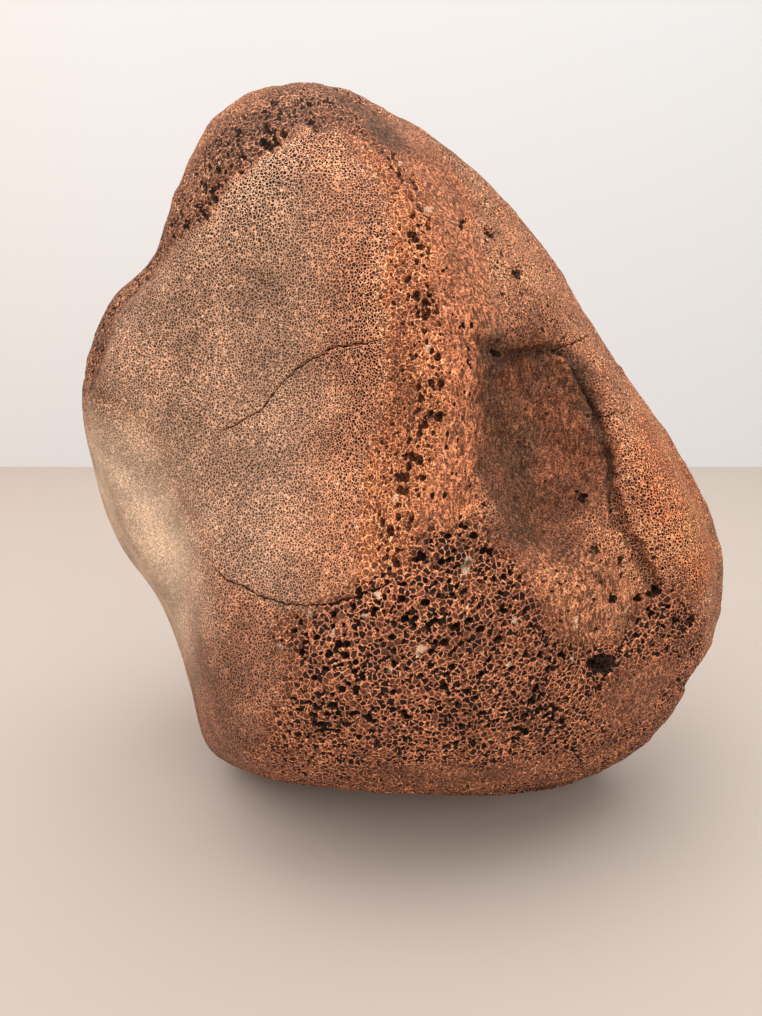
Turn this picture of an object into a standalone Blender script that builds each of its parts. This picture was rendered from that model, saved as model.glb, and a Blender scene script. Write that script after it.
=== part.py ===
"""Fossil foot bone of a mammoth, life-size, standing on its lower edge as it rests on a table.

The bone is one closed solid. Its form is a smooth joining of a few rounded lobes, trimmed to the
outline seen from the front and then hollowed where joint faces, a pit and a groove lie. A cube whose
sides are cut into a grid is pushed out from the middle of the bone until every corner of the grid
meets that form. Lengths below are in millimetres and become metres when the mesh is filled.
"""

import bmesh
import bpy
import numpy as np

MM = 0.001

# The grid of one side of the cube, and how the ray search closes in on the surface.
GRID_CELLS = 29
RAY_LENGTH = 130.0
RAY_HALVINGS = 24

# Middle of the bone before it is centred over its resting flat, and the shift that centres it.
CORE = np.array((2.0, 6.0, 64.0))
CENTRING = np.array((-3.6, -5.7, 0.0))

# Outline from the front, anticlockwise from the crown: across, depth of the widest line, height.
OUTLINE = np.array((
    (-15, 8, 150), (-32, 8, 145), (-41, 8, 130), (-47, 10, 117), (-58, 12, 107), (-66, 16, 90),
    (-66, 22, 72), (-62, 24, 53), (-52, 20, 39), (-44, 8, 23), (-38, 4, 2), (-22, 8, -11),
    (6, 12, -13), (34, 10, -14), (53, 2, 2), (65, -2, 21), (72, -2, 40), (73, 2, 56),
    (66, 6, 72), (54, 10, 89), (43, 12, 104), (32, 14, 120), (20, 14, 132), (4, 12, 143),
), dtype=float)
EDGE_ROUNDING = 36.0
LEAN_OF_RIM = 0.8

# Each lobe: centre, radii, lean in degrees about the front-to-back line, width of its blend.
PLATE = ((6, 6, 66), (100, 34, 108), 0, 0)
LOBES = {
    "nose": ((4, 6, 54), (56, 50, 78), 0, 14),
    "left condyle": ((-27, 10, 86), (36, 42, 50), 0, 10),
    "right condyle": ((36, 8, 76), (31, 40, 44), 0, 10),
    "small joint face": ((55, -2, 62), (17, 28, 36), -20, 10),
}
HOLLOWS = {
    "large joint face": ((-50, -120, 104), (88, 108, 98), 0, 8),
    "left side": ((-100, -32, 24), (60, 62, 60), 0, 10),
    "valley above the left side": ((-48, -28, 68), (12, 18, 30), -8, 9),
    "rough pit": ((30, -40, 85), (12.5, 17.5, 20.5), -15, 7),
    "groove beside the small joint face": ((42, -40.5, 72), (5, 12, 24), -19, 5),
    "neck under the pulley at the back": ((4, 76, 32), (100, 30, 24), 0, 16),
}

# The lower front turns under to the resting flat: a point on that slope, its outward direction.
UNDERCUT_POINT = (0.0, -14.0, 5.0)
UNDERCUT_FACING = (-0.05, -0.56, -0.83)
UNDERCUT_ROUNDING = 16.0

# Holes that blood vessels and decay left in the front: centre, radii, lean.
OPENINGS = {
    "deep pit": ((38.8, -34.0, 45.4), (3.5, 4.5, 2.4), 14),
    "corner of the rough pit": ((20.6, -28.5, 98.4), (2.2, 3.4, 1.4), 25),
    "slit in the rough pit": ((35.2, -26.0, 74.0), (1.7, 2.6, 1.0), -28),
    "left vessel hole": ((40.2, -33.8, 57.0), (1.4, 2.8, 1.2), 0),
    "middle vessel hole": ((45.6, -30.3, 56.4), (1.1, 2.6, 1.1), 0),
    "right vessel hole": ((48.8, -29.7, 56.8), (1.4, 3.0, 1.4), 0),
    "upper vessel hole": ((24.6, -16.5, 112.2), (1.2, 2.8, 1.2), 0),
    "chip in the right edge": ((67.6, -10.0, 30.0), (4.6, 12.0, 3.8), 20),
}

BONE_COLOUR = (0.36, 0.20, 0.11)
BONE_ROUGHNESS = 0.72


def clear_scene():
    for thing in list(bpy.data.objects):
        bpy.data.objects.remove(thing, do_unlink=True)


def leaned(points, centre, degrees):
    """Points seen from a lobe that leans about the front-to-back line."""
    angle = np.radians(degrees)
    c, s = np.cos(angle), np.sin(angle)
    lean = np.array(((c, 0.0, s), (0.0, 1.0, 0.0), (-s, 0.0, c)))
    return (points - np.array(centre, dtype=float)) @ lean


def ellipsoid(points, centre, radii, degrees):
    """Rough distance to an ellipsoid, negative inside it."""
    radii = np.array(radii, dtype=float)
    local = leaned(points, centre, degrees)
    share = np.linalg.norm(local / radii, axis=-1)
    slope = np.linalg.norm(local / radii**2, axis=-1) + 1e-12
    return share * (share - 1.0) / slope


def join(a, b, blend):
    """Union of two forms with a fillet of the given width."""
    share = np.clip(0.5 + 0.5 * (b - a) / blend, 0.0, 1.0)
    return b + (a - b) * share - blend * share * (1.0 - share)


def cut(body, tool, blend):
    """The body without the tool, with the new edge rounded."""
    return -join(-body, tool, blend)


def outline_curves():
    """Radius and depth of the outline as closed smooth curves over the angle about the core."""
    across, depth, height = (OUTLINE - CORE).T
    angle = np.arctan2(height, across)
    order = np.argsort(angle)
    angle = angle[order]
    turn = 2.0 * np.pi
    fine = np.linspace(-np.pi, np.pi, 1441)
    knots = np.concatenate((angle[-2:] - turn, angle, angle[:2] + turn))
    curves = [fine]
    for values in (np.hypot(across, height)[order], depth[order]):
        wrapped = np.concatenate((values[-2:], values, values[:2]))
        slope = (wrapped[2:] - wrapped[:-2]) / (knots[2:] - knots[:-2])
        x, y = knots[1:-1], wrapped[1:-1]
        cell = np.clip(np.searchsorted(x, fine, side="right") - 1, 0, len(x) - 2)
        width = x[cell + 1] - x[cell]
        t = (fine - x[cell]) / width
        start = (1 + 2 * t) * (1 - t) ** 2 * y[cell] + t * (1 - t) ** 2 * width * slope[cell]
        end = t * t * (3 - 2 * t) * y[cell + 1] + t * t * (t - 1) * width * slope[cell + 1]
        curves.append(start + end)
    return curves


ANGLES, OUTLINE_RADIUS, OUTLINE_DEPTH = outline_curves()


def bone_form(points):
    """Distance to the bone's surface, negative inside: lobes joined, trimmed and hollowed."""
    across, _, height = np.moveaxis(points - CORE, -1, 0)
    reach = np.hypot(across, height)
    angle = np.arctan2(height, across)
    radius = np.interp(angle, ANGLES, OUTLINE_RADIUS)
    rim_depth = np.interp(angle, ANGLES, OUTLINE_DEPTH) * np.clip(reach / radius, 0.0, 1.1) ** 2
    bent = points.copy()
    bent[..., 1] -= LEAN_OF_RIM * rim_depth
    body = ellipsoid(bent, *PLATE[:3])
    for centre, radii, degrees, blend in LOBES.values():
        body = join(body, ellipsoid(points, centre, radii, degrees), blend)
    body = cut(body, radius - reach, EDGE_ROUNDING)
    for centre, radii, degrees, blend in HOLLOWS.values():
        body = cut(body, ellipsoid(points, centre, radii, degrees), blend)
    facing = np.array(UNDERCUT_FACING) / np.linalg.norm(UNDERCUT_FACING)
    body = cut(body, -(points - np.array(UNDERCUT_POINT)) @ facing, UNDERCUT_ROUNDING)
    return np.maximum(body, -points[..., 2])


def surface_points(directions):
    """Where rays from the core leave the bone, found by halving."""
    near = np.zeros(len(directions))
    far = np.full(len(directions), RAY_LENGTH)
    for _ in range(RAY_HALVINGS):
        middle = 0.5 * (near + far)
        inside = bone_form(CORE + directions * middle[:, None]) < 0.0
        near = np.where(inside, middle, near)
        far = np.where(inside, far, middle)
    found = CORE + directions * far[:, None]
    found[found[:, 2] < 0.01, 2] = 0.0
    return found + CENTRING


def bone_material():
    material = bpy.data.materials.new("fossil bone")
    material.use_nodes = True
    shader = material.node_tree.nodes["Principled BSDF"]
    shader.inputs["Base Color"].default_value = (*BONE_COLOUR, 1.0)
    shader.inputs["Roughness"].default_value = BONE_ROUGHNESS
    shader.inputs["Metallic"].default_value = 0.0
    return material


def add_object(name, mesh_builder):
    mesh = bpy.data.meshes.new(name)
    mesh_builder.to_mesh(mesh)
    mesh_builder.free()
    placed = bpy.data.objects.new(name, mesh)
    bpy.context.scene.collection.objects.link(placed)
    return placed


def make_bone():
    """A gridded cube, with equal angles between its grid lines, pushed out onto the form."""
    grid = bmesh.new()
    bmesh.ops.create_cube(grid, size=2.0)
    bmesh.ops.subdivide_edges(grid, edges=grid.edges[:], cuts=GRID_CELLS - 1, use_grid_fill=True)
    corners = np.array([vertex.co[:] for vertex in grid.verts])
    directions = np.tan(corners * np.pi / 4.0)
    directions /= np.linalg.norm(directions, axis=1, keepdims=True)
    for vertex, place in zip(grid.verts, surface_points(directions) * MM):
        vertex.co = place
    bmesh.ops.triangulate(grid, faces=grid.faces[:])
    bmesh.ops.recalc_face_normals(grid, faces=grid.faces[:])
    bone = add_object("bone", grid)
    bone.data.shade_smooth()
    bone.data.materials.append(bone_material())
    return bone


def cut_opening(bone, name, centre, radii, degrees):
    """Take one small rounded hole out of the bone."""
    ball = bmesh.new()
    bmesh.ops.create_icosphere(ball, subdivisions=2, radius=1.0)
    cutter = add_object("cutter " + name, ball)
    cutter.location = (np.array(centre) + CENTRING) * MM
    cutter.rotation_euler[1] = np.radians(degrees)
    cutter.scale = np.array(radii) * MM
    cutter.hide_render = True
    cutter.display_type = "WIRE"
    hole = bone.modifiers.new(name, "BOOLEAN")
    hole.operation = "DIFFERENCE"
    hole.solver = "EXACT"
    hole.object = cutter


clear_scene()
bone = make_bone()
for opening, (centre, radii, degrees) in OPENINGS.items():
    cut_opening(bone, opening, centre, radii, degrees)
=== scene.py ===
from itertools import product

import bpy
import numpy as np
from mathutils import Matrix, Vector


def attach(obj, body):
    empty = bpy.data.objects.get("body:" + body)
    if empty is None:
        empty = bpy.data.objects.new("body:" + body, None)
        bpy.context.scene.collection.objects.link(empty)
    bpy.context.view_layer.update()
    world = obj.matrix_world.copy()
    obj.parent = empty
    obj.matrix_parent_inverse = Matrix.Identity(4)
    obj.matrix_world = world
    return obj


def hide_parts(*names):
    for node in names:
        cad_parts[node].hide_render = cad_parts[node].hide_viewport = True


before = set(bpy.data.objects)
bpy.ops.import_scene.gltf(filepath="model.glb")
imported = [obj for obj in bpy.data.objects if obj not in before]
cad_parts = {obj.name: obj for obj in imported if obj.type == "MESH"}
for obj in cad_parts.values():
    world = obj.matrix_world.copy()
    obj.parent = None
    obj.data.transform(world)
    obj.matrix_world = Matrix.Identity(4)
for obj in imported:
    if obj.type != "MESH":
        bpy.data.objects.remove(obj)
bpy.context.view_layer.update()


# The body of the bone: a mammoth's ankle bone, once marrow bone and now turned to hard brown fossil.
# It grew as a few rounded lobes run together, trimmed by one outline and hollowed where its
# neighbours bore on it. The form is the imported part's own, in millimetres, before it is centred.

MM = 0.001
CORE = np.array((2.0, 6.0, 64.0))
CENTRING = np.array((-3.6, -5.7, 0.0))
OUTLINE = np.array((
    (-15, 8, 150), (-32, 8, 145), (-41, 8, 130), (-47, 10, 117), (-58, 12, 107), (-66, 16, 90),
    (-66, 22, 72), (-62, 24, 53), (-52, 20, 39), (-44, 8, 23), (-38, 4, 2), (-22, 8, -11),
    (6, 12, -13), (34, 10, -14), (53, 2, 2), (65, -2, 21), (72, -2, 40), (73, 2, 56),
    (66, 6, 72), (54, 10, 89), (43, 12, 104), (32, 14, 120), (20, 14, 132), (4, 12, 143),
), dtype=float)
EDGE_ROUNDING = 36.0
LEAN_OF_RIM = 0.8
PLATE = ((6, 6, 66), (100, 34, 108), 0)
LOBES = {
    "nose": ((4, 6, 54), (56, 50, 78), 0, 14),
    "left condyle": ((-27, 10, 86), (36, 42, 50), 0, 10),
    "right condyle": ((36, 8, 76), (31, 40, 44), 0, 10),
    "small joint face": ((55, -2, 62), (17, 28, 36), -20, 10),
}
HOLLOWS = {
    "large joint face": ((-50, -120, 104), (88, 108, 98), 0, 8),
    "left side": ((-100, -32, 24), (60, 62, 60), 0, 10),
    "valley above the left side": ((-48, -28, 68), (12, 18, 30), -8, 9),
    "rough pit": ((30, -40, 85), (12.5, 17.5, 20.5), -15, 7),
    "groove beside the small joint face": ((42, -40.5, 72), (5, 12, 24), -19, 5),
    "neck under the pulley at the back": ((4, 76, 32), (100, 30, 24), 0, 16),
    "chip in the right edge": ((67.2, -10, 31), (5.0, 12, 4.4), 20, 0.8),
}
UNDERCUT_POINT = np.array((0.0, -14.0, 5.0))
UNDERCUT_FACING = np.array((-0.05, -0.56, -0.83))
UNDERCUT_ROUNDING = 16.0


def turned(points, centre, degrees):
    """Points seen from a centre whose axes are turned about the front-to-back line."""
    angle = np.radians(degrees)
    c, s = np.cos(angle), np.sin(angle)
    return (points - np.array(centre, dtype=float)) @ np.array(((c, 0, s), (0, 1, 0), (-s, 0, c)))


def ellipsoid(points, centre, radii, degrees):
    """Share of the radius times (share - 1) over its slope: about the distance to the ellipsoid."""
    radii = np.array(radii, dtype=float)
    local = turned(points, centre, degrees)
    share = np.linalg.norm(local / radii, axis=-1)
    slope = np.linalg.norm(local / radii**2, axis=-1) + 1e-12
    return share * (share - 1.0) / slope


def joined(a, b, blend):
    """The lesser of two distances, with a fillet where they differ by less than the blend."""
    share = np.clip(0.5 + 0.5 * (b - a) / blend, 0.0, 1.0)
    return b + (a - b) * share - blend * share * (1.0 - share)


def hollowed(body, tool, blend):
    """The greater of the body and the tool turned inside out, with a rounded edge."""
    return -joined(-body, tool, blend)


def outline_curves():
    """Radius and depth of the outline as closed cubic curves over the angle about the core."""
    across, depth, height = (OUTLINE - CORE).T
    angle = np.arctan2(height, across)
    order = np.argsort(angle)
    angle = angle[order]
    turn = 2.0 * np.pi
    fine = np.linspace(-np.pi, np.pi, 1441)
    knots = np.concatenate((angle[-2:] - turn, angle, angle[:2] + turn))
    curves = [fine]
    for values in (np.hypot(across, height)[order], depth[order]):
        wrapped = np.concatenate((values[-2:], values, values[:2]))
        slope = (wrapped[2:] - wrapped[:-2]) / (knots[2:] - knots[:-2])
        x, y = knots[1:-1], wrapped[1:-1]
        cell = np.clip(np.searchsorted(x, fine, side="right") - 1, 0, len(x) - 2)
        width = x[cell + 1] - x[cell]
        t = (fine - x[cell]) / width
        start = (1 + 2 * t) * (1 - t) ** 2 * y[cell] + t * (1 - t) ** 2 * width * slope[cell]
        end = t * t * (3 - 2 * t) * y[cell + 1] + t * t * (t - 1) * width * slope[cell + 1]
        curves.append(start + end)
    return curves


OUTLINE_CURVES = outline_curves()


def bone_form(points):
    """Distance to the bone, negative inside: lobes joined, trimmed by the outline, then hollowed."""
    angles, radii, depths = OUTLINE_CURVES
    across, _, height = np.moveaxis(points - CORE, -1, 0)
    reach = np.hypot(across, height)
    angle = np.arctan2(height, across)
    radius = np.interp(angle, angles, radii)
    rim_depth = np.interp(angle, angles, depths) * np.clip(reach / radius, 0.0, 1.1) ** 2
    bent = points.copy()
    bent[..., 1] -= LEAN_OF_RIM * rim_depth
    body = ellipsoid(bent, *PLATE)
    for centre, size, degrees, blend in LOBES.values():
        body = joined(body, ellipsoid(points, centre, size, degrees), blend)
    body = hollowed(body, radius - reach, EDGE_ROUNDING)
    for centre, size, degrees, blend in HOLLOWS.values():
        body = hollowed(body, ellipsoid(points, centre, size, degrees), blend)
    facing = UNDERCUT_FACING / np.linalg.norm(UNDERCUT_FACING)
    body = hollowed(body, -(points - UNDERCUT_POINT) @ facing, UNDERCUT_ROUNDING)
    return np.maximum(body, -points[..., 2])


def bone_surface(rays):
    """Where a ray from the core leaves the form: the reach is halved 12 times, then read off a line."""
    near = np.zeros(len(rays))
    far = np.full(len(rays), 130.0)
    low = np.full(len(rays), -1.0)
    high = np.full(len(rays), 1.0)
    for _ in range(12):
        middle = 0.5 * (near + far)
        found = bone_form(CORE + rays * middle[:, None])
        inside = found < 0.0
        near, low = np.where(inside, middle, near), np.where(inside, found, low)
        far, high = np.where(inside, far, middle), np.where(inside, high, found)
    reach = near + (far - near) * np.clip(-low / (high - low), 0.0, 1.0)
    return CORE + rays * reach[:, None]


def bone_facing(points):
    """Outward direction of the surface: the form's slope from four corners of a small tetrahedron."""
    corners = 0.05 * np.array(((1, 1, 1), (1, -1, -1), (-1, 1, -1), (-1, -1, 1)), dtype=float)
    slope = sum(corner * bone_form(points + corner)[:, None] for corner in corners)
    return slope / (np.linalg.norm(slope, axis=1, keepdims=True) + 1e-12)


# Bone tissue: a living lattice of thin plates with marrow cells between them. Everything below is
# laid on the body by where a point is, in millimetres, so neighbouring pieces agree at their seams.
# Soft fields give slow swells and tints, and scattered cells give the pores and the lattice.


def scattered(cube, seed):
    """A whole number for each lattice cube, from its three indices mixed by odd multipliers."""
    i, j, k = (cube[..., n].astype(np.int64).astype(np.uint32) for n in range(3))
    mixed = i * np.uint32(73856093) ^ j * np.uint32(19349663) ^ k * np.uint32(83492791)
    mixed = (mixed ^ np.uint32(seed * 2654435 + 1013)) * np.uint32(2246822519)
    mixed = (mixed ^ (mixed >> np.uint32(15))) * np.uint32(3266489917)
    return mixed ^ (mixed >> np.uint32(13))


def soft_field(points, size, seed):
    """Random numbers from -1 to 1 at lattice corners of that size, eased between the corners."""
    place = points / size
    home = np.floor(place)
    share = place - home
    share = share * share * (3.0 - 2.0 * share)
    total = np.zeros(len(points))
    for corner in product((0, 1), repeat=3):
        weight = np.ones(len(points))
        for axis, side in enumerate(corner):
            weight = weight * (share[:, axis] if side else 1.0 - share[:, axis])
        total += weight * (scattered(home + corner, seed) / 2147483648.0 - 1.0)
    return total


def rough_field(points, size, seed, layers=3):
    """Soft fields added up, each half the size and half the strength of the one before."""
    return sum(0.5**n * soft_field(points, size * 0.5**n, seed + n) for n in range(layers)) / 1.75


def bone_cells(points, size, seed):
    """One centre at random in each cube of the lattice: distances to the nearest and the next
    nearest centre, in units of the size, and the nearest one's own number from 0 to 1."""
    place = points / size
    home = np.floor(place)
    near = np.full(len(points), 9.0)
    next_near = near.copy()
    number = near.copy()
    for step in product((-1, 0, 1), repeat=3):
        cube = home + step
        mixed = scattered(cube, seed)
        spread = [((mixed >> np.uint32(s)) & np.uint32(1023)) / 1023.0 for s in (0, 10, 20)]
        gap = np.sqrt(sum((place[:, n] - cube[:, n] - spread[n]) ** 2 for n in range(3)))
        closer = gap < near
        next_near = np.where(closer, near, np.minimum(next_near, gap))
        own = ((mixed * np.uint32(2654435761)) >> np.uint32(16)) / 65535.0
        number = np.where(closer, own, number)
        near = np.where(closer, gap, near)
    return near, next_near, number


def eased(value, start, end):
    """0 at the start and 1 at the end of a range, with a smooth step between."""
    share = np.clip((value - start) / (end - start), 0.0, 1.0)
    return share * share * (3.0 - 2.0 * share)


def depth_inside(points, loop):
    """Distance to a closed line seen from the front, positive inside it: least distance to its
    stretches, with the sign from how often a line to the right crosses it."""
    x, z = points[:, 0], points[:, 2]
    closest = np.full(len(x), 1e3)
    inside = np.zeros(len(x), dtype=bool)
    for (ax, az), (bx, bz) in zip(loop, loop[1:] + loop[:1]):
        length = (bx - ax) ** 2 + (bz - az) ** 2
        along = np.clip(((x - ax) * (bx - ax) + (z - az) * (bz - az)) / length, 0, 1)
        closest = np.minimum(closest, np.hypot(x - ax - along * (bx - ax), z - az - along * (bz - az)))
        if az != bz:
            inside ^= ((az > z) != (bz > z)) & (x < (bx - ax) * (z - az) / (bz - az) + ax)
    return np.where(inside, closest, -closest)


def stretched(points, direction, factor):
    """Points squeezed along one direction, so that a pattern worked out on them is long that way."""
    direction = np.array(direction, dtype=float) / np.linalg.norm(direction)
    return points - (points @ direction)[:, None] * direction * (1.0 - 1.0 / factor)


# The joint faces: where the next bones of the foot slid, a thin hard shell over fine spongy bone.
# Worn and weathered, they show as pale, nearly even faces with pinprick pores about a millimetre
# apart between low ridges. The back carries the large pulley face for the leg.

LARGE_FACE = [
    (-29, 121), (-22, 129), (-14, 135), (-5, 136), (2, 130), (5, 123), (4, 113), (2, 104), (1, 91),
    (-1, 80), (-3, 71), (-1, 63), (-8, 58), (-19, 56), (-30, 59), (-32, 65), (-36, 71), (-42, 81),
    (-50, 87), (-54, 91), (-52, 104), (-43, 112), (-35, 118),
]
SMALL_FACE = [(49, 94), (57, 82), (65, 69), (65, 59), (55, 53), (49, 67), (43, 79)]


def joint_faces(place, front, back):
    """How far a point lies in a joint face, from 0 to 1, and the depth inside the large one."""
    inside = depth_inside(place, LARGE_FACE)
    large = eased(inside, -1.5, 2.5) * front
    small = eased(depth_inside(place, SMALL_FACE), -2.0, 2.5) * front
    pulley = np.hypot((place[:, 0] - 2.0) / 50.0, (place[:, 2] - 92.0) / 42.0)
    return np.maximum(np.maximum(large, small), eased(pulley, 1.05, 0.85) * back), inside


# The crest and the rims: the shell is gone here and the lattice under it lies open, as a network of
# round pores with painted shade inside and a painted highlight on their walls. The crest is orange, with
# a column of larger holes, and beside it runs a strip of drawn-out fibres.

CREST_HEIGHTS = (50, 60, 69, 78, 91, 107, 123, 133, 140)
CREST_EDGE = (-4, -2, -3, -1, 1, 2, 1, -4, -12)


def crest_bands(place, front):
    """Weights of the network, of the column of large holes and of the fibre strip, by how far to
    the right of the large face's edge a point lies."""
    x, z = place[:, 0], place[:, 2]
    right = x - np.interp(z, CREST_HEIGHTS, CREST_EDGE)
    tall = eased(z, 52, 62) * eased(z, 142, 132) * front
    network = eased(right, -4.0, 0.5) * eased(right, 10.5, 7.0) * tall
    large = eased(right, 1.5, 4.0) * eased(right, 9.5, 7.0) * tall
    fibres = eased(right, 7.0, 9.5) * eased(right, 18.5, 15.5) * tall
    return network, large, fibres


# The open spongy bone: the lower front has lost its shell, so the marrow cells lie open. They are about
# one to one and a half millimetres wide, deep and nearly black inside from painted shade, drawn out
# where the load ran, and parted by thin walls with a painted highlight. Three patches beside it are
# streaky and nearly closed, and the foot at the left keeps its shell, as does the pale side above it.

SPONGY_ZONE = [
    (-27, 34), (-22, 50), (-10, 59), (3, 66), (9, 73), (16, 72), (23, 67), (29, 58), (37, 54),
    (51, 56), (64, 48), (66, 30), (60, 12), (45, 2), (20, 0), (-5, 0), (-30, 2), (-36, 14), (-32, 26),
]
LEFT_FOOT = [
    (-36, 63), (-22, 57), (-15, 49), (-18, 38), (-24, 27), (-25, 12), (-40, 4), (-50, 30), (-44, 52),
]
STREAKY_PATCH = [(23, 68), (37, 66), (46, 55), (43, 50), (36, 50), (29, 55)]

# Round zones: across and height of the middle, then half the width and half the height.
STREAKY_FOOT = (15.0, 23.5, 20.0, 4.5)
STREAKY_RIGHT = (48.0, 36.0, 10.0, 8.0)
PALE_SIDE = (-56.0, 56.0, 26.0, 34.0)


def round_share(x, z, zone):
    """Distance from a round zone's middle in parts of its radius: 1 on its outline."""
    across, height, wide, tall = zone
    return np.hypot((x - across) / wide, (z - height) / tall)


# The rough pit between the crest and the small joint face held a tendon or a cushion of fat. It is
# dark brown and smooth, with fibres that run down across it and a groove beside it.

ROUGH_PIT = [(17, 100), (27, 102), (37, 98), (39, 85), (40, 73), (31, 66), (20, 69), (18, 83)]
SMOOTH_CHANNEL = [
    (-9, 144), (2, 143), (11, 135), (15, 124), (19, 113), (21, 104), (20, 98), (16, 103), (13, 112),
    (10, 122), (6, 131), (-2, 138),
]
# Each hole: across, height, half its width, half its height, lean in degrees, depth.
OPENINGS = {
    "deep pit": (38.8, 45.4, 3.3, 2.2, 14, 3.2),
    "corner of the rough pit": (20.8, 98.2, 1.5, 0.7, 25, 2.0),
    "slit in the pit": (35.2, 74.0, 1.3, 0.7, -28, 1.8),
    "hole under the slit": (37.0, 66.4, 0.75, 0.75, 0, 1.8),
    "left vessel hole": (40.2, 57.0, 1.15, 0.85, -15, 2.4),
    "middle vessel hole": (45.6, 56.4, 0.9, 0.9, 0, 2.2),
    "right vessel hole": (48.8, 56.8, 1.15, 1.15, 0, 2.8),
    "high vessel hole": (42.0, 63.2, 0.75, 0.75, 0, 2.0),
    "low vessel hole": (42.0, 60.6, 0.65, 0.65, 0, 1.8),
    "upper vessel hole": (24.6, 112.2, 1.4, 1.3, 0, 2.8),
    "hole beside the channel": (19.8, 119.2, 1.0, 1.0, 0, 2.2),
    "notch beside the channel": (14.8, 120.6, 0.8, 1.5, 25, 1.6),
    "hole by the right rim": (57.0, 50.5, 1.2, 0.8, -20, 1.6),
}


def opening_depth(points, front):
    """Depth of the vessel holes: each is full deep inside 0.6 of its ellipse and fades to its rim."""
    depth = np.zeros(len(points))
    for across, height, wide, tall, degrees, deep in OPENINGS.values():
        local = turned(points, (across, 0.0, height), degrees)
        share = np.hypot(local[:, 0] / wide, local[:, 2] / tall)
        depth = np.maximum(depth, deep * eased(share, 1.1, 0.5) * front)
    return depth


# Cracks and creases: fine splits that opened as the bone dried, the fold at the top of the rough pit
# and the groove that parts the pit from the small joint face. Each is a line seen from the front.

# Each crack: half its width, its depth, and the line that it follows.
CRACKS = {
    "lower": (0.26, 0.8, (
        (-30.9, 60.7), (-27.7, 59.2), (-23.8, 58.2), (-20.5, 57.3), (-16.8, 57.1), (-12.7, 57.6),
        (-8.4, 58.5), (-4.7, 60.1), (-1.4, 61.7), (3.3, 64.4))),
    "middle": (0.22, 0.75, (
        (-29.8, 83.7), (-26.3, 85.3), (-23.6, 86.8), (-21.3, 88.3), (-19.3, 90.5), (-17.0, 93.4),
        (-14.4, 95.5), (-11.8, 97.3), (-8.6, 98.9), (-5.1, 99.8), (2.1, 100.9))),
    "short": (0.15, 0.5, ((-35.5, 83), (-36, 79))),
    "top": (0.22, 0.75, ((-0.5, 114.3), (1.8, 115.2), (3.7, 116.2))),
    "right": (0.23, 0.8, ((34.3, 87.4), (36.6, 87.8), (38.9, 87.7), (41.3, 88.2), (47, 87.9))),
    "upper right": (0.22, 0.75, ((26.5, 97.5), (29, 98.4), (31.8, 100), (35.4, 100.5), (40.2, 101.2))),
    "left of the pit": (0.14, 0.5, ((21, 81), (19, 78), (16.4, 73.5))),
}
GROOVE = ((33, 99), (35.5, 94), (37.6, 88), (38.8, 82), (40, 76), (42, 70), (45, 64), (48.4, 58.5))
PIT_FOLD = ((16.5, 101), (19.5, 99), (22, 97.2), (27, 97.6), (32, 99.5))


def line_gap(points, line):
    """Least distance to a line of stretches seen from the front, and how far along it that is, in
    whole stretches and parts of one."""
    x, z = points[:, 0], points[:, 2]
    closest = np.full(len(x), 1e3)
    travelled = np.zeros(len(x))
    for n, ((ax, az), (bx, bz)) in enumerate(zip(line, line[1:])):
        length = (bx - ax) ** 2 + (bz - az) ** 2
        along = np.clip(((x - ax) * (bx - ax) + (z - az) * (bz - az)) / length, 0, 1)
        gap = np.hypot(x - ax - along * (bx - ax), z - az - along * (bz - az))
        travelled = np.where(gap < closest, n + along, travelled)
        closest = np.minimum(closest, gap)
    return closest, travelled


def crack_depth(points, front):
    """Depth of the cracks: full deep on the line, gone one width away, thinner towards both ends."""
    depth = np.zeros(len(points))
    for width, deep, line in CRACKS.values():
        gap, travelled = line_gap(points, line)
        taper = np.sqrt(np.clip(np.minimum(travelled, len(line) - 1 - travelled) * 1.4, 0.08, 1.0))
        depth = np.maximum(depth, deep * taper * eased(gap, width * taper, width * taper * 0.3))
    return depth * front


# The whole skin: the zones above laid over one another. Each adds its pores and walls, which are pressed
# into the surface. They also tell the finish where the bone is dark brown, pale or orange, and where to
# paint shade into the pores and creases and highlight onto the walls.


def round_pores(points, size, seed, radius, spread=0.0):
    """Millimetres inside the nearest scattered ball of a radius that grows with its own number."""
    near, _, number = bone_cells(points, size, seed)
    return (radius + spread * number - near) * size, number


def laid(skin, weight, hole, depth, hole_shade, grain, cells):
    """Lay one tissue over the ones before it: each value moves to this tissue's by its weight."""
    layer = {"hole": hole, "depth": depth, "hole_shade": hole_shade, "grain": grain, "cells": cells}
    for name, value in layer.items():
        skin[name] = skin[name] * (1.0 - weight) + value * weight


def sunk(hole, deep):
    """Depth of a hole whose wall falls over a quarter of a millimetre inside its edge."""
    return deep * eased(hole, -0.04, 0.24)


# Size of a pore's cell in millimetres, seed, least radius and its spread in parts of the cell.
PORES = {
    "small": (1.0, 31, 0.10, 0.26),
    "sparse": (2.2, 33, 0.06, 0.24),
    "rim fine": (0.95, 37, 0.24, 0.18),
    "rim large": (1.5, 39, 0.23, 0.28),
    "joint face": (1.0, 43, 0.10, 0.22),
    "network": (0.85, 51, 0.22, 0.18),
    "column": (1.45, 57, 0.26, 0.28),
    "fibre slits": (1.1, 67, 0.12, 0.22),
    "wide cells": (1.6, 73, 0.14, 0.30),
    "middle cells": (1.05, 79, 0.18, 0.22),
    "streaky slits": (1.2, 89, 0.12, 0.24),
    "rough pit": (1.5, 101, -0.05, 0.26),
    "pale side": (0.7, 103, 0.14, 0.12),
    "flakes": (4.0, 121, -0.02, 0.26),
}

# How much painted shade darkens the inside of the pores, how strong the fine web is and how open the
# comb is, from 0 to 1.
LOOKS = {
    "shell": (0.9, 0.9, 0.25),
    "rim": (0.95, 0.45, 0.8),
    "network": (0.9, 0.6, 0.6),
    "fibres": (1.0, 0.45, 0.0),
    "streaky": (0.95, 0.45, 0.1),
    "rough pit": (0.8, 0.5, 0.0),
    "channel": (0.8, 0.45, 0.0),
    "pale side": (0.3, 0.25, 0.0),
}

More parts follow.
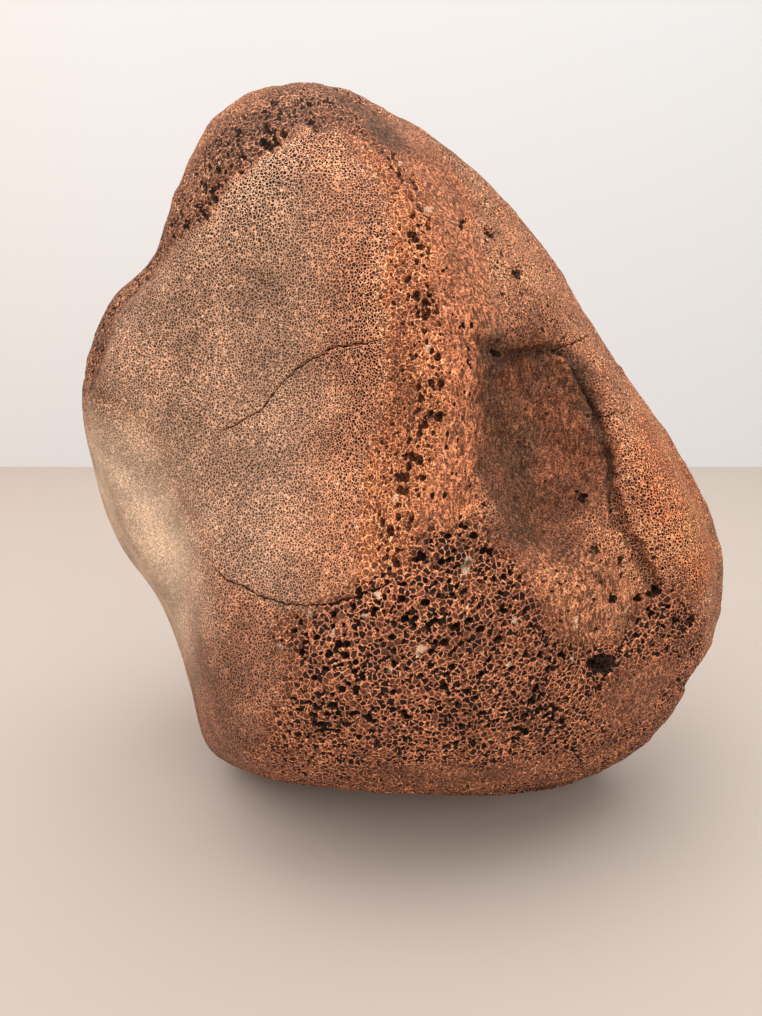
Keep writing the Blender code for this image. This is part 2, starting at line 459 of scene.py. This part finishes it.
# Ways that the tissue runs, as a direction in the view from the front.
CREST_LIE = (0.1, 0.0, 1.0)
SKIN_LIE = (0.15, 0.0, 1.0)
RIM_LIE = (0.6, 0.0, 0.8)
JOINT_LIE = (0.7, 0.0, 0.7)
STREAKY_LIE = (0.95, 0.0, -0.3)


def bone_skin(points, facing):
    """Relief in millimetres into the bone, and the shares that the finish reads, at each point."""
    slow = np.stack([soft_field(points, 9.0, 11 + n) for n in range(3)], axis=1)
    wave = np.stack([soft_field(points, 2.6, 21 + n) for n in range(3)], axis=1)
    ripple = np.stack([soft_field(points, 0.9, 27 + n) for n in range(3)], axis=1)
    place = points + 1.8 * slow + 0.9 * wave
    grain_place = points + 0.5 * slow + 0.25 * wave + 0.12 * ripple
    x, z = place[:, 0], place[:, 2]
    front = eased(-facing[:, 1], -0.15, 0.25)
    back = eased(facing[:, 1], 0.05, 0.45)
    below = eased(-facing[:, 2], 0.3, 0.8) * (1.0 - front) + eased(z, 14.0, 4.0)
    below = np.clip(below, 0.0, 1.0)
    joint, inside = joint_faces(place, front, back)
    network, column, fibres = crest_bands(place, front)
    foot = eased(depth_inside(place + 1.5 * wave, LEFT_FOOT), -4.0, 3.0) * eased(z, 3, 12) * front
    joint = np.maximum(joint, 0.9 * foot)
    spongy = np.maximum(eased(depth_inside(place, SPONGY_ZONE), -3.0, 2.5) * front, below)
    spongy = spongy * (1.0 - foot)
    streaky = eased(depth_inside(place, STREAKY_PATCH), -2.5, 2.5)
    streaky = np.maximum(streaky, 0.5 * eased(round_share(x, z, STREAKY_FOOT), 1.1, 0.6))
    streaky = np.maximum(streaky, 0.9 * eased(round_share(x, z, STREAKY_RIGHT), 1.1, 0.6))
    streaky = streaky * front
    pit = eased(depth_inside(place + 1.2 * wave, ROUGH_PIT), -4.0, 3.0) * front
    channel = eased(depth_inside(place, SMOOTH_CHANNEL), -1.2, 1.0) * front
    pale = eased(round_share(x, z, PALE_SIDE), 1.2, 0.5) * front
    groove_gap, _ = line_gap(points + 0.5 * wave, GROOVE)
    groove = eased(groove_gap + 0.5 * ripple[:, 0], 2.0, 0.1) * front
    fold_gap, _ = line_gap(points + 0.6 * wave, PIT_FOLD)
    fold = eased(fold_gap, 2.2, 0.2) * front
    skin = {name: np.zeros(len(points)) for name in ("hole", "depth", "hole_shade", "grain", "cells")}

    # The whole shell, with small pores and a few wider ones.
    upright = stretched(grain_place, SKIN_LIE, 1.3)
    small, number = round_pores(upright, *PORES["small"])
    some, own = round_pores(upright, *PORES["sparse"])
    hole = np.maximum(small, some)
    deep = sunk(small, 0.3 + 0.4 * number) + sunk(some, 0.9)
    laid(skin, np.ones(len(points)), hole, deep, *LOOKS["shell"])

    # The rim above the large joint face.
    rim = eased(inside, 0.8, -1.0) * eased(inside, -17.0, -7.0) * eased(z, 84, 92) * eased(x, 8, 0)
    rim = rim * eased(-facing[:, 1], -0.35, 0.1)
    leaning = stretched(grain_place, RIM_LIE, 1.3)
    fine, number = round_pores(leaning, *PORES["rim fine"])
    large, own = round_pores(leaning, *PORES["rim large"])
    near_edge = eased(inside, -12.0, -4.0)
    hole = np.maximum(fine, large - 0.04 * (1.0 - near_edge))
    deep = sunk(fine, 0.35 + 0.3 * number) + sunk(large, 0.5 + 0.9 * own) * (0.6 + 0.4 * near_edge)
    laid(skin, rim, hole, deep, *LOOKS["rim"])

    # The joint faces, coarser towards the crest and on the small face.
    coarse = eased(inside, 14.0, 1.0) * eased(x + 0.5 * z, 14.0, 56.0)
    coarse = np.where(inside < -25.0, 0.7, coarse)
    lean = stretched(grain_place, JOINT_LIE, 1.25)
    pits, own = round_pores(lean, *PORES["joint face"])
    hole = pits - 0.16 + 0.16 * coarse
    deep = sunk(hole, 0.3 + 0.3 * own * coarse)
    laid(skin, joint, hole, deep, 0.8, 0.8 + 0.35 * coarse, 0.12 * coarse)

    # The crest: its network, its column of large holes and its fibres.
    fine, number = round_pores(upright, *PORES["network"])
    laid(skin, network, fine, sunk(fine, 0.3 + 0.4 * number), *LOOKS["network"])
    large, own = round_pores(stretched(grain_place, CREST_LIE, 1.3), *PORES["column"])
    skin["hole"] = np.maximum(skin["hole"], large - 0.6 * (1.0 - column))
    skin["depth"] = np.maximum(skin["depth"], sunk(large, 0.7 + 0.9 * own) * column)

    strand = rough_field(stretched(place, (0.12, 0.0, 1.0), 7.0), 1.3, 61)
    slits, own = round_pores(stretched(grain_place, CREST_LIE, 2.0), *PORES["fibre slits"])
    deep = sunk(slits, 0.8) + 0.4 * eased(strand, 0.1, -0.4)
    laid(skin, fibres, slits, deep, *LOOKS["fibres"])

    # The open spongy bone, widest in a row across the lower front.
    row = eased(np.abs(z - 36.0 - 0.05 * x), 7.0, 2.0) * eased(x, -16, -8) * eased(x, 48, 36)
    big = eased(rough_field(points, 7.0, 71, 2), -0.3, 0.2)
    wide, number = round_pores(stretched(grain_place, (0.9, 0.0, 0.35), 1.25), *PORES["wide cells"])
    wide = wide + 0.10 * row + 0.08 * big - 0.02
    middle, own = round_pores(stretched(grain_place, (0.8, 0.0, 0.6), 1.2), *PORES["middle cells"])
    hole = np.maximum(wide, middle)
    deep = np.maximum(sunk(wide, 0.8 + 1.5 * number), sunk(middle, 0.5 + 0.7 * own))
    # Painted shade inside the open cells, stronger in some cells than in others.
    hole_shade_wide = 0.75 + 0.25 * eased(number, 0.15, 0.45)
    hole_shade_middle = 0.65 + 0.35 * eased(own, 0.2, 0.6)
    hole_shade = np.where(wide > middle, hole_shade_wide, hole_shade_middle)
    laid(skin, spongy * (1.0 - 0.8 * streaky), hole, deep, hole_shade, 0.3, 1.0)

    # The streaky patches, the rough pit, the smooth channel and the pale side.
    strand = rough_field(stretched(place, STREAKY_LIE, 6.0), 1.1, 83)
    slits, own = round_pores(stretched(grain_place, STREAKY_LIE, 1.6), *PORES["streaky slits"])
    deep = sunk(slits, 1.0) + 0.4 * eased(strand, 0.1, -0.4)
    laid(skin, streaky * 0.8, slits, deep, *LOOKS["streaky"])

    strand = rough_field(stretched(place, (0.5, 0.0, -0.85), 4.0), 1.8, 97)
    few, own = round_pores(grain_place, *PORES["rough pit"])
    folds = rough_field(points + 1.5 * slow, 6.0, 98, 4)
    deep = sunk(few, 0.7) + 0.5 * eased(strand, 0.2, -0.4) + 1.6 * eased(folds, 0.35, -0.45)
    laid(skin, pit, few, deep, *LOOKS["rough pit"])
    laid(skin, channel * 0.85, np.minimum(skin["hole"], -0.3), 0.2, *LOOKS["channel"])

    fine, number = round_pores(grain_place, *PORES["pale side"])
    laid(skin, pale * 0.95, fine - 0.06, sunk(fine, 0.12), *LOOKS["pale side"])

    # Vessel holes, cracks, the groove and the fold, cut through the tissues.
    openings = opening_depth(points + 0.5 * wave + 0.6 * ripple, front)
    openings = openings * np.clip(0.75 + 1.2 * rough_field(points, 1.3, 119, 2), 0.4, 1.4)
    cracks = crack_depth(points + 0.25 * wave + 0.22 * ripple, front)
    skin["hole"] = np.maximum(skin["hole"], np.minimum(openings - 0.5, 0.4))
    skin["hole"] = np.maximum(skin["hole"], 0.5 * cracks - 0.22)
    # Painted shade inside the vessel holes and cracks, on top of their depth; inside the holes it takes
    # the place of the pores' painted shade.
    shaded = 0.97 * eased(np.maximum(openings, cracks), 0.1, 0.4)
    skin["hole_shade"] = np.maximum(skin["hole_shade"] * (openings < 0.2), shaded)
    skin["depth"] = np.maximum(np.maximum(skin["depth"], openings), cracks)
    skin["depth"] = skin["depth"] + 2.0 * groove**2 + 1.4 * fold

    # Slow swells, faint on the joint faces and the pale side.
    rough = 1.0 - 0.85 * np.clip(joint + pale, 0, 1)
    swell = 0.5 * (1.0 + rough_field(points, 11.0, 111)) * (0.25 + 0.8 * rough)
    swell += 0.5 * (1.0 + rough_field(points, 3.2, 117)) * 0.7 * rough
    skin["depth"] = skin["depth"] + swell - 0.25
    skin["hole"] = np.clip(skin["hole"], -0.8, 0.8)
    skin["joint"] = np.clip(joint - 0.7 * pale, 0.0, 1.0)
    # Shares of each colour, and the pale flakes that hang on in the open bone.
    past_edge = x - np.interp(z, CREST_HEIGHTS, CREST_EDGE)
    by_crest = eased(past_edge, -20.0, -1.0) * eased(z, 40, 60)
    by_crest = 0.6 * joint * by_crest * eased(x, 24, 16) * front
    small_face = 0.8 * joint * eased(x, 28, 36) * front
    right_side = 0.25 * eased(x, 18, 26) * eased(z, 50, 60) * front
    orange = np.maximum(np.maximum(network, 0.65 * fibres), by_crest)
    skin["orange"] = np.clip(orange + small_face + right_side, 0.0, 1.0)
    skin["umber"] = np.clip(pit + 0.9 * spongy * (1 - 0.6 * streaky) + 0.45 * rim + 0.7 * foot, 0.0, 1.0)
    patchy = eased(rough_field(points, 8.0, 127, 3), -0.25, 0.45)
    # The stain and shade share: painted shade in the groove, the fold and the smooth channel, darker
    # over the rim above the large joint face, and the bone's own patchy stain in the rough pit and over
    # the open bone.
    stain_and_shade = 0.75 * groove + 0.8 * fold + 0.3 * channel + 0.5 * rim + pit * (0.15 + 0.6 * patchy)
    skin["stain_and_shade"] = np.clip(stain_and_shade + 0.12 * patchy * (1.0 - joint), 0.0, 1.0)
    chips, _ = round_pores(stretched(place + 0.5 * ripple, (0.4, 0.0, 0.9), 1.5), *PORES["flakes"])
    upper = np.maximum(column, spongy * eased(z, 42, 54)) * front
    skin["pale"] = np.maximum(pale, 0.8 * eased(chips, -0.05, 0.15) * upper)
    flake = eased(chips, -0.05, 0.15) * upper
    skin["hole"] = np.where(flake > 0.3, np.minimum(skin["hole"], -0.1), skin["hole"])
    skin["cells"] = skin["cells"] * (1.0 - flake)
    skin["grain"] = skin["grain"] * (1.0 - 0.7 * flake)
    skin["fibres"] = np.clip(np.maximum(fibres, 0.8 * channel), 0.0, 1.0)
    skin["streaks"] = np.clip(np.maximum(streaky, 0.75 * pit), 0.0, 1.0)
    return skin


# The six sides of the bone as it lies on the table. Its skin is made in nine pieces that meet edge to
# edge, each a grid thrown out from the core onto the form: four at the front, where the photographed
# side has the finest points, and one each for the other sides.


def grid_of(u_cells, v_cells):
    """Corner numbers of the four-sided cells of a grid, rows along v."""
    row, column = np.meshgrid(np.arange(v_cells), np.arange(u_cells), indexing="ij")
    first = row * (u_cells + 1) + column
    return np.stack((first, first + 1, first + u_cells + 2, first + u_cells + 1), axis=-1).reshape(-1, 4)


BOX = np.array((70.0, 44.0, 74.0))


def back_share(t):
    """From -1 at the front to 1 at the back, in steps that widen towards the back."""
    return -1.0 + 2.0 * (0.55 * t + 0.45 * t * t)


SIDES = {
    "front": lambda u, v: (u, -np.ones_like(u), v),
    "back": lambda u, v: (-u, np.ones_like(u), v),
    "left": lambda u, v: (-np.ones_like(u), back_share(1.0 - u), v),
    "right": lambda u, v: (np.ones_like(u), back_share(u), v),
    "crown": lambda u, v: (u, back_share(v), np.ones_like(u)),
    "underside": lambda u, v: (-u, back_share(v), -np.ones_like(u)),
}


# The dry surface of the bone: dense tissue stained by minerals, dull and slightly waxy where the skin is
# whole. Thin walls, the ridges of the web and the lips of holes get a painted highlight, and the open
# cells, the gaps of the web and the holes get painted shade inside.


def to_linear(hex_colour):
    """The sRGB curve undone for each of the three pairs of hex digits, with full opacity added."""
    channels = [int(hex_colour[n:n + 2], 16) / 255.0 for n in (1, 3, 5)]
    curve = [c / 12.92 if c <= 0.04045 else ((c + 0.055) / 1.055) ** 2.4 for c in channels]
    return (*curve, 1.0)


def add_node(tree, kind, settings=None, links=None):
    """Add one node, set its properties and sockets, and link sockets to other nodes' outputs."""
    node = tree.nodes.new(kind)
    for name, value in (settings or {}).items():
        if isinstance(name, int) or name in node.inputs:
            node.inputs[name].default_value = value
        else:
            setattr(node, name, value)
    for name, output in (links or {}).items():
        tree.links.new(output, node.inputs[name])
    return node


SHARES = (
    "hole", "hole_shade", "grain", "cells", "joint", "orange", "umber", "pale", "stain_and_shade", "fibres", "streaks",
)

# How many cells or patches of each pattern fit in a metre: the fine web of the grain is half a
# millimetre from wall to wall and the open comb one millimetre, and the stain clouds nine.
WEB_CELLS = 1950.0
COMB_CELLS = 1000.0
SPECKS = 1500.0
STROKES = 2000.0
SWAY = 170.0
CLOUDS = 110.0

# How far, in metres, specks nudge the walls of the cells and sway bends the strokes.
WALL_NUDGE = 0.0006
STROKE_BEND = 0.004
STROKE_SQUEEZE = 0.22

# What is read and the range read, then the range that it becomes, with soft ends.
RAMPS = {
    "ridge": ("web", 0.12, 0.05, 0.0, 1.0),
    "gap": ("web", 0.08, 0.15, 0.0, 1.0),
    "wall": ("comb", 0.07, 0.03, 0.0, 1.0),
    "hollow": ("comb", 0.06, 0.12, 0.0, 1.0),
    "own depth": ("own", 0.36, 0.56, 0.55, 1.0),
    "lip": ("ragged", -0.13, -0.06, 0.0, 1.0),
    "inner": ("ragged", -0.04, 0.05, 0.0, 1.0),
    "upright": ("upright", 0.38, 0.62, -0.6, 0.65),
    "slanting": ("slanting", 0.38, 0.62, -0.6, 0.6),
    "clouded": ("cloud", 0.3, 0.7, 0.72, 1.2),
    "speckled": ("speck", 0.3, 0.7, 0.84, 1.16),
}

# Pairs multiplied or added, in order: the patterns weighed by the shares of the tissue.
SUMS = (
    ("ridge", "MULTIPLY", "ridge", "grain"),
    ("gap", "MULTIPLY", "gap", "grain"),
    ("wall", "MULTIPLY", "wall", "cells"),
    ("cell", "MULTIPLY", "hollow", "own depth"),
    ("cell", "MULTIPLY", "cell", "cells"),
    ("open", "ADD", "grain", "cells"),
    ("lip", "MULTIPLY", "lip", "open"),
    ("inner", "MULTIPLY", "inner", "hole_shade"),
    ("upright", "MULTIPLY", "upright", "fibres"),
    ("slanting", "MULTIPLY", "slanting", "streaks"),
    ("drawn", "ADD", "upright", "slanting"),
    ("light", "MULTIPLY", "clouded", "speckled"),
    ("height", "ADD", "ridge", "drawn"),
    ("height", "SUBTRACT", "height", "gap"),
)

# How much lighter or darker each part of the pattern makes the bone: the strokes are the grain's own
# tone. The ridges of the web, the walls of the comb and the lips of the holes are painted highlight, and
# the gaps of the web, the cells and the insides of the holes are painted shade.
LIGHT_CHANGES = {
    "drawn": 1.0, "ridge": 1.2, "gap": -0.97, "wall": 1.5, "cell": -0.95, "lip": 0.7, "inner": -0.94,
}

# Dry brown bone, what each share turns it to, the last a dark tint for painted shade in creases and for
# stain, and the brightest colour, which no painted highlight passes.
BROWN_BONE = "#A26B4D"
TINTS = {
    "joint": "#A17A61", "orange": "#B46A45", "umber": "#824E35", "pale": "#C8AA8F", "stain_and_shade": "#4F392B",
}
# Strength of the dark tint that paints shade into the creases and lays the bone's own stain.
STAIN_AND_SHADE_STRENGTH = 0.8
BRIGHTEST = "#F8D2AE"

# Dull, slightly waxy bone, with the web and the strokes standing 0.15 mm proud.
BONE_GLOSS = {"Roughness": 0.74, "IOR": 1.5, "Metallic": 0.0, "Specular IOR Level": 0.22}
GRAIN_RELIEF = {"Strength": 0.7, "Distance": 0.00015}


def fossil_bone():
    """Fossil bone: dense mineral-stained bone, dull and slightly waxy where the skin is whole. Brown
    iron staining in the open tissue, orange on the crest, pale grey-tan on the worn joint faces, with
    painted highlight on the walls and lips of the pores and painted shade inside them, in the holes and
    cracks and in the creases."""
    material = bpy.data.materials.new("fossil bone")
    material.use_nodes = True
    tree = material.node_tree
    tree.nodes.clear()
    made = {}
    for name in SHARES:
        made[name] = add_node(tree, "ShaderNodeAttribute", {"attribute_name": name}).outputs["Fac"]
    place = add_node(tree, "ShaderNodeTexCoord").outputs["Object"]

    # Stain clouds, specks, and the places that specks and sway move.
    patches = {}
    for name, scale, detail in (("cloud", CLOUDS, 4.0), ("speck", SPECKS, 2.0), ("sway", SWAY, 1.0)):
        settings = {"Scale": scale, "Detail": detail}
        patches[name] = add_node(tree, "ShaderNodeTexNoise", settings, {"Vector": place}).outputs
        made[name] = patches[name]["Fac"]
    moved = {}
    for name, reach in (("speck", WALL_NUDGE), ("sway", STROKE_BEND)):
        settings = {"operation": "MULTIPLY_ADD", 1: (reach,) * 3}
        links = {0: patches[name]["Color"], 2: place}
        moved[name] = add_node(tree, "ShaderNodeVectorMath", settings, links).outputs[0]

    # The web and the comb: distance to the nearest wall between cells, and each cell's own number.
    for name, scale in (("web", WEB_CELLS), ("comb", COMB_CELLS)):
        settings = {"feature": "DISTANCE_TO_EDGE", "Scale": scale}
        cells = add_node(tree, "ShaderNodeTexVoronoi", settings, {"Vector": moved["speck"]})
        made[name] = cells.outputs["Distance"]
    cells = add_node(tree, "ShaderNodeTexVoronoi", {"Scale": COMB_CELLS}, {"Vector": moved["speck"]})
    made["own"] = cells.outputs["Color"]

    # Short wavy strokes: noise drawn out along one direction by turning and squeezing the place.
    for name, turn in (("upright", 0.12), ("slanting", -1.2)):
        settings = {"Rotation": (0.0, turn, 0.0), "Scale": (1.0, 1.0, STROKE_SQUEEZE)}
        drawn = add_node(tree, "ShaderNodeMapping", settings, {"Vector": moved["sway"]}).outputs[0]
        settings = {"Scale": STROKES, "Detail": 2.0, "Roughness": 0.6}
        made[name] = add_node(tree, "ShaderNodeTexNoise", settings, {"Vector": drawn}).outputs["Fac"]

    # The edge of each hole, made ragged by up to a twentieth of a millimetre.
    settings = {"From Min": 0.3, "From Max": 0.7, "To Min": -0.05, "To Max": 0.05}
    wobble = add_node(tree, "ShaderNodeMapRange", settings, {"Value": made["speck"]}).outputs["Result"]
    links = {0: made["hole"], 1: wobble}
    made["ragged"] = add_node(tree, "ShaderNodeMath", {"operation": "ADD"}, links).outputs[0]

    ramped = {}
    for name, (source, low, high, to_low, to_high) in RAMPS.items():
        settings = {
            "From Min": low, "From Max": high, "To Min": to_low, "To Max": to_high,
            "interpolation_type": "SMOOTHSTEP",
        }
        ramp = add_node(tree, "ShaderNodeMapRange", settings, {"Value": made[source]})
        ramped[name] = ramp.outputs["Result"]
    made.update(ramped)
    for name, operation, first, second in SUMS:
        links = {0: made[first], 1: made[second]}
        made[name] = add_node(tree, "ShaderNodeMath", {"operation": operation}, links).outputs[0]

    # Light is multiplied by one and a share of each part, painted highlight, painted shade and the
    # strokes' own tone alike, which keeps the hue of the bone.
    light = made["light"]
    for name, change in LIGHT_CHANGES.items():
        settings = {"operation": "MULTIPLY_ADD", 1: change, 2: 1.0}
        part = add_node(tree, "ShaderNodeMath", settings, {0: made[name]}).outputs[0]
        links = {0: light, 1: part}
        light = add_node(tree, "ShaderNodeMath", {"operation": "MULTIPLY"}, links).outputs[0]

    # The stain and shade tint, weakened: painted shade in the creases and the bone's own stain.
    settings = {"operation": "MULTIPLY", 1: STAIN_AND_SHADE_STRENGTH}
    made["stain_and_shade"] = add_node(tree, "ShaderNodeMath", settings, {0: made["stain_and_shade"]}).outputs[0]
    brown = add_node(tree, "ShaderNodeRGB")
    brown.outputs[0].default_value = to_linear(BROWN_BONE)
    colour = brown.outputs[0]
    for name, tint in TINTS.items():
        settings = {"data_type": "RGBA", 7: to_linear(tint)}
        colour = add_node(tree, "ShaderNodeMix", settings, {"Factor": made[name], 6: colour}).outputs[2]
    links = {0: colour, "Scale": light}
    colour = add_node(tree, "ShaderNodeVectorMath", {"operation": "SCALE"}, links).outputs[0]
    # No part, painted highlights included, is lighter than the brightest colour.
    settings = {"operation": "MINIMUM", 1: to_linear(BRIGHTEST)[:3]}
    colour = add_node(tree, "ShaderNodeVectorMath", settings, {0: colour}).outputs[0]

    bump = add_node(tree, "ShaderNodeBump", GRAIN_RELIEF, {"Height": made["height"]})
    links = {"Base Color": colour, "Normal": bump.outputs["Normal"]}
    shader = add_node(tree, "ShaderNodeBsdfPrincipled", BONE_GLOSS, links)
    add_node(tree, "ShaderNodeOutputMaterial", links={"Surface": shader.outputs["BSDF"]})
    return material


bone_finish = fossil_bone()


# The skin laid on the bone, piece by piece. Points below the first height lie on the resting flat,
# and are pressed down by the second length, so that the relief doesn't lift them. Sides of a piece
# that meet a coarser one are named, and take every second point from the middle of its neighbours.

FLAT_BELOW = 0.02
FLAT_PRESS = 0.6


def bone_patch(name, side, u_range, v_range, u_cells, v_cells, coarse_edges):
    """One piece of the skin: a grid of (u, v) on one side of a box about the core, each point
    thrown out along its ray to the form, then pressed in by the relief along the facing."""
    u, v = np.meshgrid(np.linspace(*u_range, u_cells + 1), np.linspace(*v_range, v_cells + 1))
    rays = np.stack(SIDES[side](u.ravel(), v.ravel()), axis=1) * BOX
    rays /= np.linalg.norm(rays, axis=1, keepdims=True)
    points = bone_surface(rays)
    facing = bone_facing(points)
    skin = bone_skin(points, facing)
    placed = points - facing * skin["depth"][:, None]
    # The resting flat is pressed back down onto the floor, and all else stays above it.
    flat = points[:, 2] < FLAT_BELOW
    pressed = np.where(flat, placed[:, 2] - FLAT_PRESS, placed[:, 2])
    placed[:, 2] = np.maximum(pressed, 0.0)
    placed = placed.reshape(v_cells + 1, u_cells + 1, 3)
    for edge in coarse_edges:
        line = {"u0": placed[:, 0], "u1": placed[:, -1], "v0": placed[0], "v1": placed[-1]}[edge]
        line[1:-1:2] = 0.5 * (line[:-2:2] + line[2::2])
    mesh = bpy.data.meshes.new(name)
    corners = grid_of(u_cells, v_cells)
    mesh.vertices.add(placed.size // 3)
    mesh.vertices.foreach_set("co", ((placed + CENTRING) * MM).astype(np.float32).ravel())
    mesh.loops.add(corners.size)
    mesh.loops.foreach_set("vertex_index", corners.astype(np.int32).ravel())
    mesh.polygons.add(len(corners))
    mesh.polygons.foreach_set("loop_start", np.arange(0, corners.size, 4, dtype=np.int32))
    mesh.update(calc_edges=True)
    mesh.shade_smooth()
    for share in SHARES:
        values = mesh.attributes.new(share, "FLOAT", "POINT")
        values.data.foreach_set("value", skin[share].astype(np.float32))
    spread = mesh.uv_layers.new(name="OFBake")
    square = np.stack((
        (corners % (u_cells + 1)) / u_cells, (corners // (u_cells + 1)) / v_cells), axis=-1)
    spread.data.foreach_set("uv", square.astype(np.float32).ravel())
    mesh.materials.append(bone_finish)
    mesh.validate()
    piece = bpy.data.objects.new(name, mesh)
    bpy.context.scene.collection.objects.link(piece)
    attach(piece, "root")
    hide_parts("bone")
    return piece


PATCHES = (
    ("bone_face_upper_left", "front", (-1, 0), (0, 1), 316, 316, ()),
    ("bone_face_upper_right", "front", (0, 1), (0, 1), 316, 316, ()),
    ("bone_face_lower_left", "front", (-1, 0), (-1, 0), 316, 316, ()),
    ("bone_face_lower_right", "front", (0, 1), (-1, 0), 316, 316, ()),
    ("bone_left_side", "left", (0, 1), (-1, 1), 156, 632, ("u0",)),
    ("bone_right_side", "right", (0, 1), (-1, 1), 156, 632, ("u1",)),
    ("bone_crown", "crown", (-1, 1), (0, 1), 632, 156, ("v1",)),
    ("bone_underside", "underside", (-1, 1), (0, 1), 632, 156, ("v1",)),
    ("bone_back", "back", (-1, 1), (-1, 1), 316, 316, ()),
)
for patch in PATCHES:
    bone_patch(*patch)


# The table and the wall: a plain pale sheet under the bone and another behind it, lit by soft lamps
# from above and from the left, with the camera where the photograph was taken.


def plain_sheet(name, colour, corners):
    """A flat four-cornered sheet with a matt painted finish."""
    mesh = bpy.data.meshes.new(name)
    mesh.from_pydata(corners, [], [(0, 1, 2, 3)])
    sheet = bpy.data.objects.new(name, mesh)
    bpy.context.scene.collection.objects.link(sheet)
    material = bpy.data.materials.new(name + " paint")
    material.use_nodes = True
    shader = material.node_tree.nodes["Principled BSDF"]
    shader.inputs["Base Color"].default_value = to_linear(colour)
    shader.inputs["Roughness"].default_value = 0.85
    shader.inputs["Specular IOR Level"].default_value = 0.2
    mesh.materials.append(material)
    return sheet


WALL_AT = 0.378
floor = plain_sheet("table_top", "#BBB0A7", [(-3, -3, 0), (3, -3, 0), (3, 3, 0), (-3, 3, 0)])
wall = plain_sheet(
    "back_wall", "#D5D7D9",
    [(-3, WALL_AT, -0.2), (3, WALL_AT, -0.2), (3, WALL_AT, 3), (-3, WALL_AT, 3)])


def soft_lamp(name, place, aim, size, watts, colour):
    """A square lamp of that size, turned to look from its place at the aim."""
    lamp = bpy.data.lights.new(name, "AREA")
    lamp.size = size
    lamp.energy = watts
    lamp.color = to_linear(colour)[:3]
    holder = bpy.data.objects.new(name, lamp)
    holder.location = place
    direction = Vector(aim) - Vector(place)
    holder.rotation_euler = direction.to_track_quat("-Z", "Y").to_euler()
    bpy.context.scene.collection.objects.link(holder)


soft_lamp("window", (-0.30, -0.25, 0.75), (0, 0.0, 0.08), 0.7, 4.2, "#FFFDFB")
soft_lamp("ceiling", (0.26, 0.06, 0.9), (0.06, 0.12, 0.05), 0.8, 4.4, "#FFFEFC")
soft_lamp("room", (0.2, -0.9, 0.4), (0, 0, 0.05), 0.9, 4.6, "#FFF9F3")
soft_lamp("lamp at the left", (-0.5, 0.2, 0.3), (-0.36, WALL_AT, 0.2), 0.25, 0.22, "#FF9F55")

ROOM_LIGHT = 0.62
world = bpy.data.worlds.new("room light")
world.use_nodes = True
background = world.node_tree.nodes["Background"]
background.inputs["Color"].default_value = to_linear("#FFFBF8")
background.inputs["Strength"].default_value = ROOM_LIGHT
bpy.context.scene.world = world
bpy.context.scene.view_settings.view_transform = "Standard"

CAMERA_AT = (-0.0036, -0.1617, 0.104)
CAMERA_TILT = 76.0
CAMERA_LENS = 27.04

camera_data = bpy.data.cameras.new("camera")
camera_data.lens = CAMERA_LENS
camera_data.sensor_width = 36.0
camera_data.clip_start = 0.01
camera = bpy.data.objects.new("camera", camera_data)
camera.location = CAMERA_AT
camera.rotation_euler = (np.radians(CAMERA_TILT), 0.0, 0.0)
bpy.context.scene.collection.objects.link(camera)
bpy.context.scene.camera = camera
